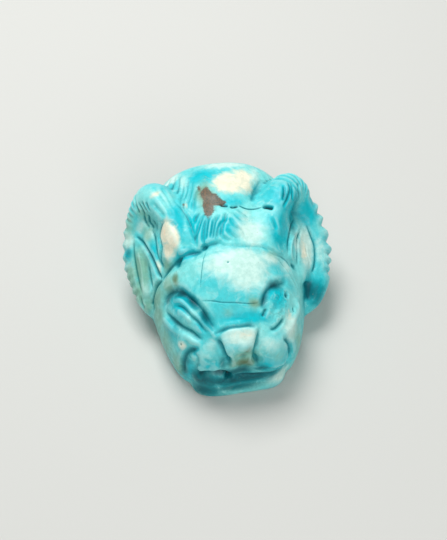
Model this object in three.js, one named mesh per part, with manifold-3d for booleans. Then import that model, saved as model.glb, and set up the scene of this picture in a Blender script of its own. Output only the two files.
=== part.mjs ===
// A ram's head pendant carved in the round from one pebble of turquoise. It lies on its flat underside:
// the chin points along -Y, the crown of the head along +Y, and the ram's left horn is on the +X side.
// Millimetres, +Z up, origin in the middle of the underside. Everything is one stone, so it is one solid.

import * as THREE from 'three';
import { mergeVertices } from 'three/addons/utils/BufferGeometryUtils.js';
import Module from 'manifold-3d';

const wasm = await Module();
wasm.setup();

// Driving sizes of the stone.
const headLength = 30; // chin to the back of the crown
const headWidth = 26.6; // across both horns
const headHeight = 15; // underside to the top of the crown
const cordHole = 1.8; // bore drilled from side to side behind the horns
const mouthGroove = 0.7; // width of the cut between the lips
const hairlineStep = 0.45; // how far the forehead stands over the hair in front of it
const ribDepth = 0.5; // depth of the cuts between the ribs of a horn
const lockHeight = 0.42; // how far a lock of hair stands out of the crown
const lockWidth = 1.3;

const stoneColour = 0x4fc6c8;
const stoneRoughness = 0.35;

const up = new THREE.Vector3(0, 0, 1);

// A point given as shares of the half width, the half length and the height of the head.
function at(across, along, high) {
  return new THREE.Vector3((across * headWidth) / 2, (along * headLength) / 2, high * headHeight);
}

// A closed skin over a row of rings, with a fan over each end. Every ring turns the same way round.
function skin(rings) {
  const sides = rings[0].length;
  const points = rings.flat();
  const middle = (ring) => ring.reduce((sum, p) => sum.add(p), new THREE.Vector3()).divideScalar(sides);
  const firstMiddle = points.push(middle(rings[0])) - 1;
  const lastMiddle = points.push(middle(rings.at(-1))) - 1;
  const faces = [];
  for (let i = 0; i < rings.length - 1; i++) {
    for (let j = 0; j < sides; j++) {
      const a = i * sides + j;
      const b = i * sides + ((j + 1) % sides);
      faces.push(a, b, a + sides, b, b + sides, a + sides);
    }
  }
  const lastRing = (rings.length - 1) * sides;
  for (let j = 0; j < sides; j++) {
    const next = (j + 1) % sides;
    faces.push(firstMiddle, next, j, lastMiddle, lastRing + j, lastRing + next);
  }
  const geometry = new THREE.BufferGeometry();
  geometry.setAttribute('position', new THREE.Float32BufferAttribute(points.flatMap((p) => p.toArray()), 3));
  geometry.setIndex(faces);
  return geometry;
}

function solidOf(geometry) {
  geometry.deleteAttribute('normal');
  geometry.deleteAttribute('uv');
  const merged = mergeVertices(geometry);
  const { position } = merged.attributes;
  return new wasm.Manifold(
    new wasm.Mesh({
      numProp: 3,
      vertProperties: Float32Array.from(position.array),
      triVerts: Uint32Array.from(merged.index.array),
    }),
  );
}

function join(forms) {
  return forms.map(solidOf).reduce((whole, solid) => whole.add(solid));
}

function cutFrom(whole, forms) {
  return forms.map(solidOf).reduce((rest, solid) => rest.subtract(solid), whole);
}

// An ellipsoid with its three half sizes along its own axes: long axis, wide axis, and thickness.
function egg(centre, halfSizes, longAxis, faceAxis, wide = 12, high = 8) {
  const long = longAxis.clone().normalize();
  const face = faceAxis.clone().addScaledVector(long, -faceAxis.dot(long)).normalize();
  const side = new THREE.Vector3().crossVectors(long, face);
  const place = new THREE.Matrix4().makeBasis(side, long, face).setPosition(centre);
  const [length, width, thickness] = halfSizes;
  return new THREE.SphereGeometry(1, wide, high).scale(width, length, thickness).applyMatrix4(place);
}

// A round or flattened bar along a curve. size(t) gives its half width and half thickness at each place,
// and the thickness stands along the direction that out(t) gives.
function bar(curve, places, sides, size, out) {
  const rings = places.map((t) => {
    const centre = curve.getPoint(t);
    const along = curve.getTangent(t);
    const outward = out(t);
    const thick = outward.addScaledVector(along, -outward.dot(along)).normalize();
    const wide = new THREE.Vector3().crossVectors(along, thick);
    const [halfWidth, halfThickness] = size(t);
    return Array.from({ length: sides }, (_, j) => {
      const turn = (j / sides) * 2 * Math.PI;
      return centre
        .clone()
        .addScaledVector(thick, halfThickness * Math.cos(turn))
        .addScaledVector(wide, halfWidth * Math.sin(turn));
    });
  });
  return skin(rings);
}

function evenly(steps) {
  return Array.from({ length: steps + 1 }, (_, i) => i / steps);
}

// Reads one column of a list of rows at t, from 0 at the first row to 1 at the last.
function columnAt(rows, column, t) {
  const place = t * (rows.length - 1);
  const row = Math.min(Math.floor(place), rows.length - 2);
  return THREE.MathUtils.lerp(rows[row][column], rows[row + 1][column], place - row);
}

function curveThrough(points) {
  return new THREE.CatmullRomCurve3(points, false, 'centripetal');
}

// The skull is three arched forms laid one behind the other: the muzzle, the face and the crown. Each row of
// an arch says, in shares, how far along the head it is, its half width, its height, and how square its
// section is (2 is an ellipse).
const muzzle = archForm([
  [-0.93, 0.2, 0.3, 2.4],
  [-0.91, 0.33, 0.39, 2.4],
  [-0.86, 0.4, 0.45, 2.4],
  [-0.78, 0.43, 0.5, 2.6],
  [-0.55, 0.42, 0.5, 2.8],
]);
const faceShift = -0.02; // the face sits a little toward -X
const face = archForm(
  [
    [-0.825, 0.4, 0.4, 2.4],
    [-0.815, 0.48, 0.54, 2.4],
    [-0.76, 0.555, 0.64, 2.4],
    [-0.63, 0.63, 0.745, 2.3],
    [-0.43, 0.695, 0.85, 2.1],
    [-0.27, 0.73, 0.905, 2],
    [-0.17, 0.745, 0.925, 2],
    [-0.14, 0.73, 0.91, 2],
    [-0.12, 0.6, 0.75, 2],
  ],
  faceShift,
);
const crown = archForm([
  [-0.4, 0.68, 0.7, 2],
  [-0.13, 0.75, 0.925 - hairlineStep / headHeight, 2],
  [0.1, 0.77, 0.955, 2],
  [0.33, 0.78, 0.985, 2],
  [0.57, 0.76, 0.985, 2.2],
  [0.77, 0.7, 0.945, 2.4],
  [0.91, 0.58, 0.82, 2.5],
  [1, 0.45, 0.62, 2.5],
  [1.025, 0.22, 0.4, 2.2],
]);

function archForm(rows, middle = 0) {
  const points = rows.map(([along, halfWidth, top]) => new THREE.Vector3(halfWidth, along, top));
  const shape = curveThrough(points);
  return { shape, middle, squareness: (t) => columnAt(rows, 3, t) };
}

const belt = 0.2; // height at which the stone is widest
const underBelt = 0.37; // how far an arch reaches down from its belt, before the underside is cut flat

function archSkin({ shape, middle, squareness }, steps, sides) {
  const rings = evenly(steps).map((t) => {
    const { x: halfWidth, y: along, z: top } = shape.getPoint(t);
    const power = 2 / squareness(t);
    return Array.from({ length: sides }, (_, j) => {
      const turn = (j / sides) * 2 * Math.PI;
      const across = Math.sign(Math.cos(turn)) * Math.abs(Math.cos(turn)) ** power;
      const rise = Math.abs(Math.sin(turn)) ** power;
      const high = Math.sin(turn) < 0 ? belt + rise * (top - belt) : belt - rise * underBelt;
      return at(middle + across * halfWidth, along, high);
    });
  });
  return skin(rings);
}

// The point of an arch's surface over a place given in shares.
function onArch({ shape, middle, squareness }, across, along, lift = 0) {
  let low = 0;
  let high = 1;
  for (let i = 0; i < 24; i++) {
    const half = (low + high) / 2;
    if (shape.getPoint(half).y < along) low = half;
    else high = half;
  }
  const { x: halfWidth, z: top } = shape.getPoint(low);
  const power = squareness(low);
  const share = Math.max(0, 1 - Math.abs((across - middle) / halfWidth) ** power);
  return at(across, along, belt + (top - belt) * share ** (1 / power)).addScaledVector(up, lift);
}

// Horns. Each rises at the hairline, runs back beside the crown, turns down behind the ear and curls
// forward round it to the cheek. The last two columns are its thickness and its width there. The two were
// cut by eye: the one on the +X side spreads wider, sits further forward and has a broader shaft.
const hornRoute = [
  [0.36, -0.2, 0.74, 0.25, 0.7],
  [0.41, 0, 0.84, 0.4, 0.85],
  [0.51, 0.3, 0.87, 0.85, 0.9],
  [0.66, 0.56, 0.8, 1, 1],
  [0.81, 0.47, 0.55, 1, 1],
  [0.885, 0.22, 0.37, 0.95, 0.95],
  [0.845, -0.02, 0.28, 0.8, 0.88],
  [0.75, -0.18, 0.22, 0.68, 0.8],
  [0.64, -0.27, 0.2, 0.5, 0.5],
];
const hornThickness = 2.2; // half thickness where it turns down
const hornWidth = 2.3; // half width there
const ribs = 8;
const horns = {
  left: { forward: 0.04, spread: 0.95, shaftShift: 0.01, shaftWidth: 0.5, firstRib: 0.49, lastRib: 0.8 },
  right: { forward: -0.03, spread: 1.015, shaftShift: -0.05, shaftWidth: 0.95, firstRib: 0.4, lastRib: 0.73 },
};

function horn(side) {
  const cutting = side > 0 ? horns.right : horns.left;
  const { forward, spread, shaftShift, shaftWidth, firstRib, lastRib } = cutting;
  const rows = hornRoute.map(([across, along, high, thickness, width], i) => {
    const curl = THREE.MathUtils.clamp((i - 2) / 3, 0, 1);
    const shaft = THREE.MathUtils.clamp((3 - i) / 2, 0, 1);
    const place = at(
      side * (across * THREE.MathUtils.lerp(1, spread, curl) + shaftShift * shaft),
      along + forward * curl,
      high,
    );
    return [place, thickness, width * THREE.MathUtils.lerp(1, shaftWidth, shaft)];
  });
  const route = curveThrough(rows.map(([place]) => place));
  const cut = (t) => {
    const count = (ribs * (t - firstRib)) / (lastRib - firstRib);
    return count < 0 || count > ribs ? 0 : ribDepth * (1 - Math.abs(Math.sin(Math.PI * count)) ** 0.7);
  };
  const places = [
    ...evenly(6).slice(0, -1).map((t) => t * firstRib),
    ...evenly(ribs * 4).map((t) => THREE.MathUtils.lerp(firstRib, lastRib, t)),
    ...evenly(4).slice(1).map((t) => THREE.MathUtils.lerp(lastRib, 1, t)),
  ];
  const hub = at(side * 0.6, 0.08, 0.45);
  return bar(
    route,
    places,
    10,
    (t) => [
      hornWidth * columnAt(rows, 2, t) - cut(t) * 0.5,
      hornThickness * columnAt(rows, 1, t) - cut(t),
    ],
    (t) => route.getPoint(t).sub(hub),
  );
}

// Ears. A leaf hollowed along its middle lies on the full cheek inside the curl of the horn, behind its
// rolled front rim. The ear on the -X side is larger, stands steeper and has the thicker rim.
const earLength = 8.4;
const earWidth = 3.6;
const earThickness = 2.2;
const earRimWidth = 1.5;
const bedSize = [8, 4.7, 4.1]; // half sizes of the mass that fills the curl of the horn under the ear

function earParts(side) {
  const leafCentre = side > 0 ? at(0.69, 0.05, 0.56) : at(-0.745, 0.05, 0.47);
  const long = side > 0 ? at(-0.02, -0.45, -0.17) : at(0.08, -0.45, -0.22);
  const out = side > 0 ? at(0.62, -0.1, 0.5) : at(-0.66, -0.05, 0.52);
  const width = (side > 0 ? 0.9 : 1.3) * earWidth;
  const lift = out.clone().normalize().multiplyScalar(earThickness * 0.5);
  const bed = egg(at(side * 0.5, 0.12, 0.4), bedSize, long, out, 16, 10);
  const leaf = egg(leafCentre, [earLength / 2, width / 2, earThickness / 2], long, out);
  const hollowSize = [earLength * 0.4, width * 0.3, earThickness * 0.3];
  const hollow = egg(leafCentre.clone().add(lift), hollowSize, long, out);
  const rimCentre = side > 0 ? at(0.6, 0.08, 0.62) : at(-0.69, 0.16, 0.59);
  const rimLength = earLength * (side > 0 ? 0.5 : 0.46);
  const rim = egg(rimCentre, [rimLength, earRimWidth / 2, 1], long, at(side * 0.5, 0, 0.6));
  return { raised: [bed, leaf, rim], hollow };
}

// A temple: the smooth bulge between the root of the horn and the ear. On the -X side, where the shaft of
// the horn is narrow, it is a full almond.
function temple(side) {
  const centre = side > 0 ? at(0.53, 0.1, 0.7) : at(-0.53, 0.15, 0.745);
  const halfSizes = side > 0 ? [3.6, 1.8, 1.5] : [3.4, 1.5, 1.5];
  return egg(centre, halfSizes, at(side * 0.02, -0.6, -0.1), at(side * 0.6, 0, 0.7), 14, 10);
}

// Locks of hair. They part at a whorl on the crown: one set fans forward to the hairline as a fringe, and
// the other, worn lower, runs back over the -X side of the crown. Its other side is left smooth.
const whorl = 0.24; // how far along the head the whorl is
const fringeLocks = 8;
const backLocks = 4;
const lockSteps = 5;

function lock(from, to, wave, height) {
  const points = evenly(lockSteps).map((t) => {
    const across = THREE.MathUtils.lerp(from.across, to.across, t) + wave * Math.sin(2 * Math.PI * t);
    return onArch(crown, across, THREE.MathUtils.lerp(from.along, to.along, t), -height * 0.25);
  });
  const taper = (t) => 0.2 + 0.8 * Math.sin(Math.PI * (0.15 + 0.8 * t)) ** 0.8;
  return bar(
    curveThrough(points),
    evenly(lockSteps),
    5,
    (t) => [(lockWidth / 2) * taper(t), height * (0.4 + taper(t))],
    () => up.clone(),
  );
}

function hair() {
  const { lerp } = THREE.MathUtils;
  const fringe = evenly(fringeLocks - 1).map((fan) => {
    const from = { across: lerp(-0.22, 0.06, fan), along: whorl };
    return lock(from, { across: lerp(-0.35, 0.24, fan), along: -0.1 }, 0.015, lockHeight);
  });
  const back = evenly(backLocks - 1).map((fan) => {
    const from = { across: lerp(-0.32, -0.06, fan), along: whorl };
    return lock(from, { across: lerp(-0.46, -0.14, fan), along: 0.72 }, 0.02, lockHeight * 0.7);
  });
  return [...fringe, ...back];
}

// Nose: a wedge that narrows from its root between the eyes to the blunt tip over the mouth.
const noseShift = -0.025; // its middle line stands a little toward -X
const noseRows = [
  [-0.62, 0.13, 0.7, 0.4],
  [-0.75, 0.21, 0.69, 0.4],
  [-0.8, 0.2, 0.665, 0.4],
  [-0.865, 0.16, 0.62, 0.36],
  [-0.92, 0.13, 0.575, 0.35],
  [-0.935, 0.11, 0.53, 0.38],
];

function nose() {
  const sides = 12;
  const square = (s) => Math.sign(s) * Math.abs(s) ** 0.6;
  const rings = noseRows.map(([along, halfWidth, top, bottom]) =>
    Array.from({ length: sides }, (_, j) => {
      const turn = ((j + 0.5) / sides) * 2 * Math.PI;
      const high = THREE.MathUtils.lerp(bottom, top, (square(Math.sin(turn)) + 1) / 2);
      return at(noseShift + square(Math.cos(turn)) * halfWidth, along, high);
    }),
  );
  return skin(rings);
}

// Muzzle: a full pad beside each side of the nose, over the jaw. The jaw is a plate with cut corners and a
// bevelled edge, which stands out furthest where it meets the underside. It was cut a little askew, so its
// -X side stands further forward.
const jawEdge = [
  [-0.5, -0.6],
  [-0.485, -0.76],
  [-0.445, -0.89],
  [-0.36, -0.95],
  [-0.2, -0.972],
  [0, -0.962],
  [0.2, -0.952],
  [0.315, -0.938],
  [0.4, -0.885],
  [0.445, -0.8],
  [0.47, -0.6],
];
const jawTop = 0.24;
const jawBevel = 0.35; // how far the jaw's front leans back up to the mouth

function jaw() {
  const edge = curveThrough(jawEdge.map(([across, along]) => at(across, along, 0)));
  const ring = (inward, high) =>
    evenly(22).map((t) => {
      const point = edge.getPoint(t);
      return point.multiplyScalar(1 - inward / point.length()).setZ(high * headHeight);
    });
  const front = ring(jawBevel, 0.13);
  return skin([ring(jawBevel, -0.05), ring(0, 0.02), ring(0, 0.07), front, ring(jawBevel * 1.6, jawTop)]);
}

function muzzleForms() {
  const pads = [-1, 1].map((side) => {
    const centre = side > 0 ? at(0.27, -0.79, 0.42) : at(-0.3, -0.77, 0.41);
    const halfWidth = side > 0 ? 2.3 : 2.1;
    const rise = at(side * 0.03, 0.14, 0.28);
    return egg(centre, [3.4, halfWidth, 2.2], rise, at(side * 0.12, -0.5, 0.3), 16, 10);
  });
  const lip = curveThrough([
    at(-0.4, -0.84, 0.33),
    at(-0.28, -0.875, 0.335),
    at(-0.1, -0.885, 0.325),
    at(0.12, -0.9, 0.32),
    at(0.3, -0.885, 0.3),
    at(0.4, -0.84, 0.28),
  ]);
  const upperLip = bar(lip, evenly(10), 8, () => [0.75, 0.75], () => up.clone());
  return [archSkin(muzzle, 8, 24), ...pads, upperLip, jaw()];
}

// The cut between the lips, which rises a little at the -X side of its middle.
function mouthCut() {
  const points = [
    at(-0.44, -0.84, 0.25),
    at(-0.32, -0.92, 0.285),
    at(-0.2, -0.95, 0.295),
    at(-0.08, -0.955, 0.27),
    at(0.1, -0.955, 0.26),
    at(0.3, -0.935, 0.245),
    at(0.42, -0.86, 0.23),
  ];
  return bar(
    curveThrough(points),
    evenly(12),
    6,
    () => [mouthGroove / 2, 0.9],
    () => new THREE.Vector3(0, -1, 0.2),
  );
}

// Eyes: a long slanting socket under the brow, wide at its outer end, with the ball and the upper lid in it.
const leftEyeLine = [[-0.65, -0.33], [-0.48, -0.51], [-0.31, -0.76]]; // from the temple to the nose
const rightEyeLine = [[0.57, -0.39], [0.4, -0.57], [0.24, -0.74]];
const socketDepth = 0.9;
const socketWidth = 1.75; // half width at its widest
const lidWidth = 1.3;

function eyeParts(side) {
  const out = at(side * 0.42, -0.3, 0.85).normalize();
  const eyeLine = side > 0 ? rightEyeLine : leftEyeLine;
  const line = curveThrough(eyeLine.map(([across, along]) => onArch(face, across, along)));
  const brow = new THREE.Vector3().crossVectors(line.getTangent(0.5), out).multiplyScalar(-side);
  const swell = (t) => Math.sin(Math.PI * Math.min(1, 0.08 + 1.15 * t ** 0.75 * (1 - 0.16 * t)));
  const socket = bar(
    line,
    evenly(10),
    12,
    (t) => [0.25 + socketWidth * swell(t), 0.2 + socketDepth * swell(t)],
    () => out.clone(),
  );
  const course = line.getTangent(0.5);
  const lidCentre = line.getPoint(0.52).addScaledVector(brow, 0.35).addScaledVector(out, -0.5);
  const lid = egg(lidCentre, [0.42 * line.getLength(), lidWidth / 2, 0.75], course, out, 12, 10);
  const ballCentre = line.getPoint(0.4).addScaledVector(brow, -0.6).addScaledVector(out, -0.8);
  const ball = egg(ballCentre, [0.28 * line.getLength(), 0.75, 0.8], course, out, 12, 10);
  return { socket, inside: [ball, lid] };
}

// The bore for the cord, hidden under the back of the horns.
function cordBore() {
  const bore = new THREE.CylinderGeometry(cordHole / 2, cordHole / 2, headWidth * 1.2, 20);
  const { x, y, z } = at(0, 0.7, 0.34);
  return bore.rotateZ(Math.PI / 2).translate(x, y, z);
}

// What is trimmed off below the underside.
function groundBlock() {
  const depth = headHeight;
  return new THREE.BoxGeometry(headWidth * 2, headLength * 2, depth).translate(0, 0, -depth / 2);
}

function ramHead() {
  const sides = [-1, 1];
  const eyes = sides.map(eyeParts);
  const ears = sides.map(earParts);
  const raised = join([
    archSkin(face, 14, 24),
    archSkin(crown, 12, 24),
    ...hair(),
    ...sides.map(horn),
    ...ears.flatMap((ear) => ear.raised),
    ...sides.map(temple),
    ...muzzleForms(),
  ]);
  const carved = cutFrom(raised, [...eyes.map((eye) => eye.socket), ...ears.map((ear) => ear.hollow)]);
  const filled = carved.add(join([...eyes.flatMap((eye) => eye.inside), nose()]));
  return cutFrom(filled, [mouthCut(), cordBore(), groundBlock()]);
}

function meshOf(name, solid) {
  const { vertProperties, triVerts } = solid.getMesh();
  const geometry = new THREE.BufferGeometry();
  geometry.setAttribute('position', new THREE.BufferAttribute(vertProperties, 3));
  geometry.setIndex(new THREE.BufferAttribute(triVerts, 1));
  geometry.computeVertexNormals();
  const material = new THREE.MeshStandardMaterial({
    color: stoneColour,
    roughness: stoneRoughness,
    metalness: 0,
  });
  const mesh = new THREE.Mesh(geometry, material);
  mesh.name = name;
  return mesh;
}

const pendant = new THREE.Group();
pendant.add(meshOf('ram_head', ramHead()));

export default pendant;
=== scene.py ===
import math

import bmesh
import bpy
import numpy as np
from mathutils import Matrix, Vector, noise
from mathutils.bvhtree import BVHTree
from mathutils.kdtree import KDTree


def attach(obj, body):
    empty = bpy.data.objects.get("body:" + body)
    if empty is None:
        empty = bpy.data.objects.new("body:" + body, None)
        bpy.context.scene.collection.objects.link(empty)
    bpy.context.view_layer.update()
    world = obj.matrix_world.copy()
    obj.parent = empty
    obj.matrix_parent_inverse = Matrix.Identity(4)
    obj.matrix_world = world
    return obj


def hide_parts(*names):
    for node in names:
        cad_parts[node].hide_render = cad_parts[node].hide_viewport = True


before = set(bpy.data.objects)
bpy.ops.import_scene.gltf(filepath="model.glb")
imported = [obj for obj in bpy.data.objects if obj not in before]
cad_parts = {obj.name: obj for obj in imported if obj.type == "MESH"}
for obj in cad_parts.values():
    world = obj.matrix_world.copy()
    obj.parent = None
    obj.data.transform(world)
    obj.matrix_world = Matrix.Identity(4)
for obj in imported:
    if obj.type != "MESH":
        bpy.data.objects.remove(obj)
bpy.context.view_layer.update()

# The blank. The pendant is one pebble of turquoise, sawn flat underneath, and every form of the head is
# left standing in it. The work goes on in millimetres until the carved stone is polished.

MM = 0.001
half_width, half_length, height = 13.3, 15.0, 15.0  # of the head, as the frame has it

blank = bmesh.new()
blank.from_mesh(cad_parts["ram_head"].data)
bmesh.ops.scale(blank, vec=(1 / MM,) * 3, verts=blank.verts)
bmesh.ops.remove_doubles(blank, verts=blank.verts, dist=0.001)


def at(across, along, high):
    """A point given as shares of the half width, the half length and the height of the head."""
    return np.array([across * half_width, along * half_length, high * height])


def path_through(points, steps):
    """A smooth line through the given points, with the same number of steps between each two."""
    p = np.array(points, float)
    p = np.vstack([2 * p[0] - p[1], p, 2 * p[-1] - p[-2]])
    gap = np.sqrt(np.linalg.norm(np.diff(p, axis=0)[:, :3], axis=1))
    share = np.linspace(0, 1, steps, endpoint=False)[:, None]
    line = []
    for i in range(1, len(p) - 2):
        a, b, c, d = p[i - 1 : i + 3]
        before, here, after = gap[i - 1 : i + 2]
        leave = ((b - a) / before - (c - a) / (before + here) + (c - b) / here) * here
        arrive = ((c - b) / here - (d - b) / (here + after) + (d - c) / after) * here
        bend = 3 * (c - b) - 2 * leave - arrive
        turn = 2 * (b - c) + leave + arrive
        line.append(b + leave * share + bend * share**2 + turn * share**3)
    return np.vstack([*line, p[-2:-1]])


# The horns in the blank. Each rises at the hairline, runs back beside the crown, turns down behind the ear
# and curls forward round it. They are ground round here, and their teeth are sawn in later.

horn_route = [  # across, along, high, and its half thickness and half width as shares
    (0.36, -0.2, 0.74, 0.25, 0.7),
    (0.41, 0, 0.84, 0.4, 0.85),
    (0.51, 0.3, 0.87, 0.85, 0.9),
    (0.66, 0.56, 0.8, 1, 1),
    (0.81, 0.47, 0.55, 1, 1),
    (0.885, 0.22, 0.37, 0.95, 0.95),
    (0.845, -0.02, 0.28, 0.8, 0.88),
    (0.75, -0.18, 0.22, 0.68, 0.8),
    (0.64, -0.27, 0.2, 0.5, 0.5),
]
horn_thickness, horn_width = 2.2, 2.3
horn_set = {  # left and right: how far forward, spread, and the shift and width of the shaft
    -1: (0.04, 0.95, 0.01, 0.5),
    1: (-0.03, 1.015, -0.05, 0.95),
}
horn_hub = (0.6, 0.08, 0.45)  # what a horn curls round, across, along and high
horn_sides, horn_steps = 40, 12


def horn_line(side):
    """The middle line of a horn, with its half thickness and half width in the last two columns."""
    forward, spread, shaft_shift, shaft_width = horn_set[side]
    rows = []
    for i, (across, along, high, thick, wide) in enumerate(horn_route):
        curl, shaft = np.clip((i - 2) / 3, 0, 1), np.clip((3 - i) / 2, 0, 1)
        across = across * (1 + (spread - 1) * curl) + shaft_shift * shaft
        wide = wide * (1 + (shaft_width - 1) * shaft)
        middle = at(side * across, along + forward * curl, high)
        rows.append([*middle, thick * horn_thickness, wide * horn_width])
    return path_through(rows, horn_steps)


def horn_frames(side):
    """A horn's middle line, and at each of its steps the course, the way out of the curl and the width."""
    line = horn_line(side)
    hub = at(side * horn_hub[0], *horn_hub[1:])
    course = np.gradient(line[:, :3], axis=0)
    course /= np.linalg.norm(course, axis=1, keepdims=True)
    out = line[:, :3] - hub
    out -= (out * course).sum(1, keepdims=True) * course
    out /= np.linalg.norm(out, axis=1, keepdims=True)
    return line, course, out, np.cross(course, out)


for side in (-1, 1):
    line, course, out, wide = horn_frames(side)
    rings = []
    for row, c, o, w in zip(line, course, out, wide):
        ring = Matrix.Identity(4)
        for column, axis in enumerate((w * row[4], o * row[3], c, row[:3])):
            for k in range(3):
                ring[k][column] = axis[k]
        rings.append(ring)
    verts = bmesh.ops.create_circle(
        blank, cap_ends=True, radius=1, segments=horn_sides, matrix=rings[0]
    )["verts"]
    edges = [e for e in blank.edges if e.verts[0] in verts and e.verts[1] in verts]
    for here, following in zip(rings, rings[1:]):
        grown = bmesh.ops.extrude_edge_only(blank, edges=edges)["geom"]
        verts = [g for g in grown if isinstance(g, bmesh.types.BMVert)]
        edges = [g for g in grown if isinstance(g, bmesh.types.BMEdge) and all(v in verts for v in g.verts)]
        bmesh.ops.transform(blank, matrix=following @ here.inverted(), verts=verts)
    bmesh.ops.contextual_create(blank, geom=edges)
    horn_faces = [f for f in blank.faces if len(f.verts) != 3]
    bmesh.ops.recalc_face_normals(blank, faces=horn_faces)

# Grinding the blank. Its flats are rounded by the slope that they share at their corners, and the gutters
# between ear, horn and hair are filled, because that side of the real stone is cut in low relief. The beds
# of the hair, the eyes and the mouth are ground smooth, so that they can be cut afresh.

grain = 0.12  # distance between the points of the stone's surface
first_grain = 1.5 * grain  # the same while gaps are filled
sharp_edge = math.radians(50)
roundness = 0.8  # how far a flat swells toward the round form that its corners have
filled = 0.6  # gaps narrower than twice this were never cut free
soft = 0.25  # how far the grinding of the whole stone reaches
gutter_reach = 1.2  # how far the filling of its gutters reaches
bed_slope = 1.6  # how fast a bed starts inside its edge
crown_slope = 1.3  # how the bed of the hair fades toward its sides
crown_half_width, crown_front, crown_foot = 6.2, -2.2, 11  # and where it ends

bmesh.ops.triangulate(blank, faces=blank.faces)
rough = bpy.data.meshes.new("rough")
blank.to_mesh(rough)
blank.free()
rough.shade_smooth()
rough.set_sharp_from_angle(angle=sharp_edge)


def column(collection, name, size, kind=float):
    """One property of everything in a collection, as rows of numbers."""
    values = np.zeros(len(collection) * size, kind)
    collection.foreach_get(name, values)
    return values.reshape(-1, size) if size > 1 else values


corners = column(rough.vertices, "co", 3)
corner_of = column(rough.loops, "vertex_index", 1, int).reshape(-1, 3)
slope_of = column(rough.corner_normals, "vector", 3).reshape(-1, 3, 3)
rough_tree = BVHTree.FromPolygons(corners.tolist(), corner_of.tolist())


def set_out(name, data):
    """A new object in the scene."""
    thing = bpy.data.objects.new(name, data)
    bpy.context.scene.collection.objects.link(thing)
    return thing


def worked_mesh(thing):
    """The mesh that an object's modifiers leave of it. The object itself goes."""
    mesh = bpy.data.meshes.new_from_object(thing.evaluated_get(bpy.context.evaluated_depsgraph_get()))
    bpy.data.objects.remove(thing)
    return mesh


worked = set_out("worked", rough)
for kind, amount in (
    ("REMESH", first_grain),
    ("DISPLACE", filled),
    ("REMESH", first_grain),
    ("DISPLACE", -filled),
    ("REMESH", grain),
):
    shaper = worked.modifiers.new(kind, kind)
    if kind == "REMESH":
        shaper.mode = "VOXEL"
        shaper.voxel_size = amount
    else:
        shaper.mid_level = 0
        shaper.strength = amount
stone_mesh = worked_mesh(worked)

stone = column(stone_mesh.vertices, "co", 3)
edges = column(stone_mesh.edges, "vertices", 2, int)
neighbours = np.bincount(edges.ravel(), minlength=len(stone))[:, None]

# Each point of a flat moves to the planes that the slopes at the flat's three corners give.
nearest = [rough_tree.find_nearest(p) for p in stone.tolist()]
flat = np.array([n[0] for n in nearest])
face = np.array([n[2] for n in nearest])
a, b, c = (corners[corner_of[face, k]] for k in range(3))
normal = np.cross(b - a, c - a)
area = (normal * normal).sum(1) + 1e-12
share_b = (np.cross(flat - a, c - a) * normal).sum(1) / area
share_c = (np.cross(b - a, flat - a) * normal).sum(1) / area
shares = np.stack([1 - share_b - share_c, share_b, share_c], 1)
swell = np.zeros_like(stone)
for k, corner in enumerate((a, b, c)):
    slope = slope_of[face, k]
    swell -= shares[:, k : k + 1] * ((flat - corner) * slope).sum(1, keepdims=True) * slope
stone = stone + roundness * swell


def grind(points, reach, where=None, low=None):
    """Every point moves toward the middle of its neighbours, until bumps as wide as reach are gone. Where low
    gives the ways the stone faces, what stands high stays and only what lies low is raised."""
    where = np.ones(len(points)) if where is None else where
    moving, drawn = np.flatnonzero(where), edges[(where > 0)[edges].any(1)]
    strength = 0.5 * where[moving, None]
    points = points.copy()
    rounds = math.ceil(4 * (reach / grain) ** 2)
    for _ in range(rounds):
        pull = [
            np.bincount(drawn[:, 0], points[drawn[:, 1], axis], len(points))
            + np.bincount(drawn[:, 1], points[drawn[:, 0], axis], len(points))
            for axis in range(3)
        ]
        move = np.stack([p[moving] for p in pull], 1) / neighbours[moving] - points[moving]
        if low is not None:
            move = np.clip((move * low[moving]).sum(1, keepdims=True), 0, None) * low[moving]
        points[moving] += strength * move
    return points


def facing_of(points):
    """Which way the stone faces at each of its points."""
    stone_mesh.vertices.foreach_set("co", points.ravel())
    stone_mesh.update()
    return column(stone_mesh.vertex_normals, "vector", 3)


def around(places, reach):
    """From 1 in the middle of each of the given places to 0 at reach from it."""
    off = [np.linalg.norm((stone - np.array(p)) / reach, axis=1) for p in places]
    return np.clip(bed_slope * (1 - np.min(off, axis=0)), 0, 1)


def saw_flat(points):
    """The underside goes back on its plane, and nothing stays below it."""
    points[underside, 2] = 0
    points[:, 2] = np.maximum(points[:, 2], 0)


underside = stone[:, 2] < 0.3 * grain
crown_top = np.clip(crown_slope - np.abs(stone[:, 0] / crown_half_width), 0, 1)
crown_top = crown_top * np.clip(stone[:, 1] - crown_front, 0, 1) * (stone[:, 2] > crown_foot)
eye_beds = np.maximum(
    around([(-7.6, -6, 8.6), (-6, -8.4, 9.4), (-4.6, -10.4, 9.4)], 3.4),
    around([(6.3, -6.8, 9.2), (5, -8.6, 9.6), (3.8, -10.4, 9.4)], 3.2),
)
ear_beds = np.maximum(
    around([(-8.4, 1, 10), (-9.6, 3, 9.4), (-11, 0, 7)], 3.4),
    around([(7, 0, 12), (8.5, 2.4, 10), (10.5, 0, 8)], 3.4),
)
shaft_beds = np.maximum(
    around([(-5.6, 4, 14.4), (-5, 1.5, 14), (-7.4, 1.6, 13)], 2.8),
    around([(4.6, 4, 14), (4.6, 0.5, 14), (7.8, 2, 12.4), (7.6, 0, 11.6)], 3),
)
hairline_bed = around([(1.5, -1.6, 13.6), (3.8, -1.7, 13.2), (5.5, -2, 12.4)], 2.4)
nose_end = around([(0, -14, 7)], 2.6)
muzzle = around([(-4, -12.8, 6), (0, -13, 6.4), (4, -12.8, 6)], 3.2)
lip_line = [(-5.2, -13, 4.8), (-3.4, -13.7, 4.9), (-1.6, -13.9, 4.8), (0.6, -14, 4.6), (2.6, -14, 4.4)]
lips = around(lip_line, 1.7)
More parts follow.
